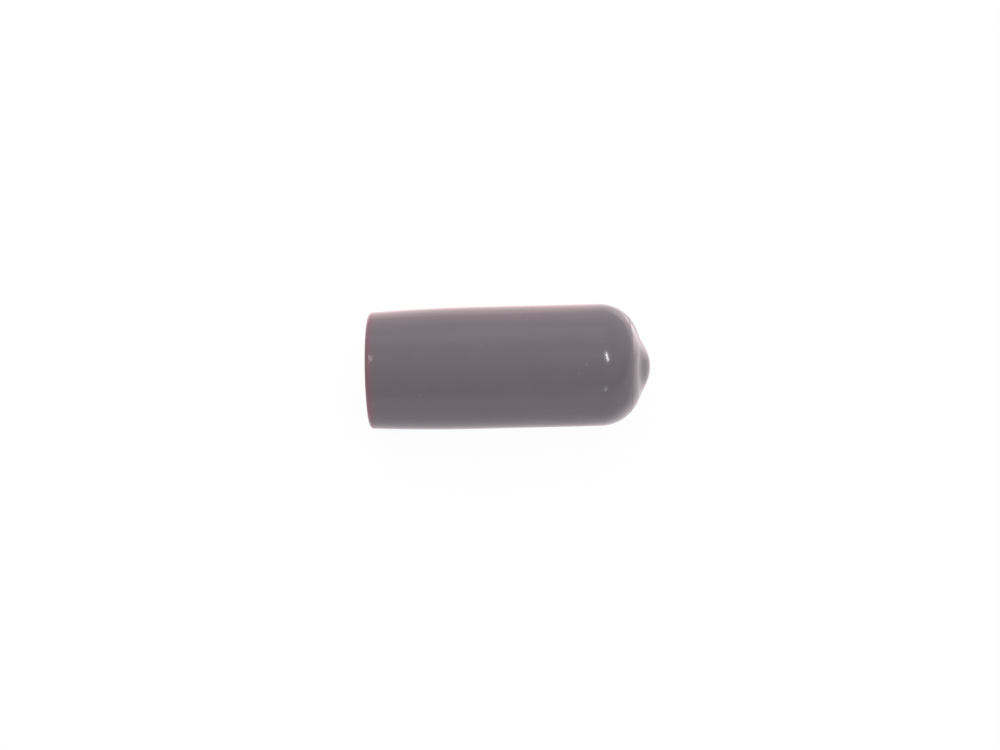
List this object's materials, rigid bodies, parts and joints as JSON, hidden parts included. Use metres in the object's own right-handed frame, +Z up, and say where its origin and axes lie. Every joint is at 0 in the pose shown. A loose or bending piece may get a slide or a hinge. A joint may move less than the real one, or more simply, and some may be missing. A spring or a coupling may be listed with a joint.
{
  "type": "pencil cap",
  "caption": "Soft dip-moulded vinyl cap: a round sleeve with a blind bore that pushes over the end of a pencil, closed by a rounded end with a small drip nib.",
  "frame": {"origin": "centre of the mouth, on the bore axis", "axes": "+X along the bore axis from the mouth to the closed end, +Z up with the cap lying on its side, so the skirt rests at Z = -4.7 mm"},
  "size_m": [0.0216, 0.0094, 0.0094],
  "materials": {
    "soft_vinyl": "satin"
  },
  "bodies": {
    "root": {"cap_shell": "soft_vinyl"}
  },
  "joints": []
}
